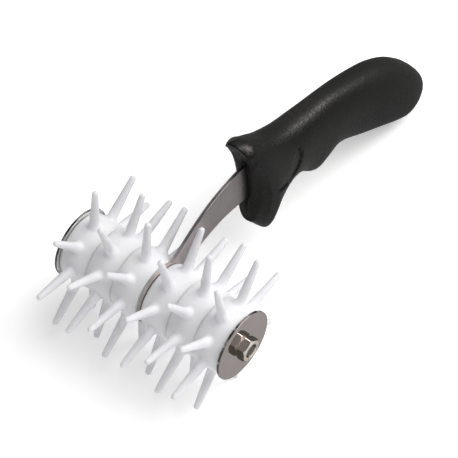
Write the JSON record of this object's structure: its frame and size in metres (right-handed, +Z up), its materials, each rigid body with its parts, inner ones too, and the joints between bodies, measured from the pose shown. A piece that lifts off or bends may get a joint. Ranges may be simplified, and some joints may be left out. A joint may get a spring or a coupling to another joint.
{
  "type": "dough docker",
  "caption": "Hand dough docker: spiked rollers spin freely on a cross axle on each side of a flat steel shank, which is set in a moulded grip with a flared finger guard.",
  "frame": {"origin": "middle of the cross axle, in the middle plane of the steel shank", "axes": "+X along the axle the rollers turn on, +Y back towards the grip, +Z up as the tool lies on a table on its pins and the butt of its grip"},
  "size_m": [0.099, 0.2223, 0.0863],
  "materials": {
    "grip_black": "moulded black plastic with a fine grain",
    "shank_steel": "satin stainless plate",
    "axle_steel": "turned stainless",
    "wheel_white": "white moulded nylon, slightly translucent",
    "disc_steel": "polished stainless sheet",
    "nut_steel": "bright plated nut"
  },
  "bodies": {
    "frame": {"handle": "grip_black", "shank_plate": "shank_steel", "axle": "axle_steel", "spacer_tube_left": "axle_steel", "spacer_tube_right": "axle_steel", "end_disc_left": "disc_steel", "end_disc_right": "disc_steel", "axle_nut_left": "nut_steel", "axle_nut_right": "nut_steel"},
    "roller_left": {"wheel_left_outer": "wheel_white", "wheel_left_middle": "wheel_white", "wheel_left_inner": "wheel_white"},
    "roller_right": {"wheel_right_inner": "wheel_white", "wheel_right_middle": "wheel_white", "wheel_right_outer": "wheel_white"}
  },
  "joints": [
    {"name": "roller_left_spin", "type": "hinge", "parent": "frame", "child": "roller_left", "pos_m": [-0.0224, 0, 0], "axis": [1, 0, 0], "continuous": true},
    {"name": "roller_right_spin", "type": "hinge", "parent": "frame", "child": "roller_right", "pos_m": [0.0224, 0, 0], "axis": [1, 0, 0], "continuous": true}
  ]
}
